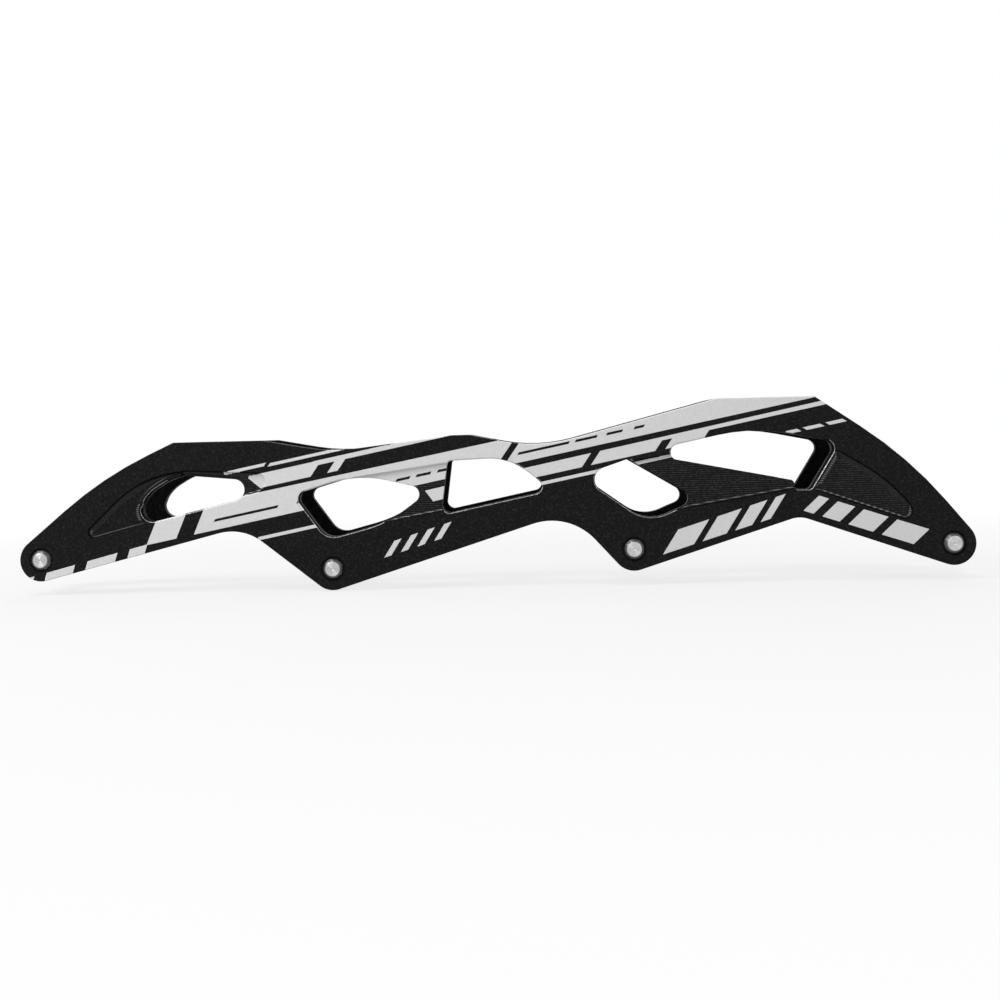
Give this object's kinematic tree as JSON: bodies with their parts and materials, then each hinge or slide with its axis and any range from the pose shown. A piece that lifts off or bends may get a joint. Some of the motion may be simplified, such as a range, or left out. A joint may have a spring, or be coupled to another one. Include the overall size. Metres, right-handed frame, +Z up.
{
  "type": "inline skate frame",
  "caption": "One-piece machined inline skate frame, an upside-down channel with lightening windows and stepped mounting faces, with screw-in wheel axles.",
  "frame": {"origin": "middle of the length and width, at the lowest point of the frame", "axes": "+X from toe to heel along the row of wheels, +Y from the thread side to the head side of the axles, +Z up towards the boot"},
  "size_m": [0.3404, 0.038, 0.0654],
  "materials": {
    "black_anodised_aluminium": "satin black anodised, with etched silver stripes",
    "turned_steel": "bright lathe-turned"
  },
  "bodies": {
    "frame": {"frame_body": "black_anodised_aluminium"},
    "axle_body_1": {"axle_1": "turned_steel"},
    "axle_body_2": {"axle_2": "turned_steel"},
    "axle_body_3": {"axle_3": "turned_steel"},
    "axle_body_4": {"axle_4": "turned_steel"}
  },
  "joints": [
    {"name": "axle_1_slide", "type": "slide", "parent": "frame", "child": "axle_body_1", "axis": [0, 1, 0], "range_m": [0, 0.031]},
    {"name": "axle_2_slide", "type": "slide", "parent": "frame", "child": "axle_body_2", "axis": [0, 1, 0], "range_m": [0, 0.031]},
    {"name": "axle_3_slide", "type": "slide", "parent": "frame", "child": "axle_body_3", "axis": [0, 1, 0], "range_m": [0, 0.031]},
    {"name": "axle_4_slide", "type": "slide", "parent": "frame", "child": "axle_body_4", "axis": [0, 1, 0], "range_m": [0, 0.031]}
  ]
}
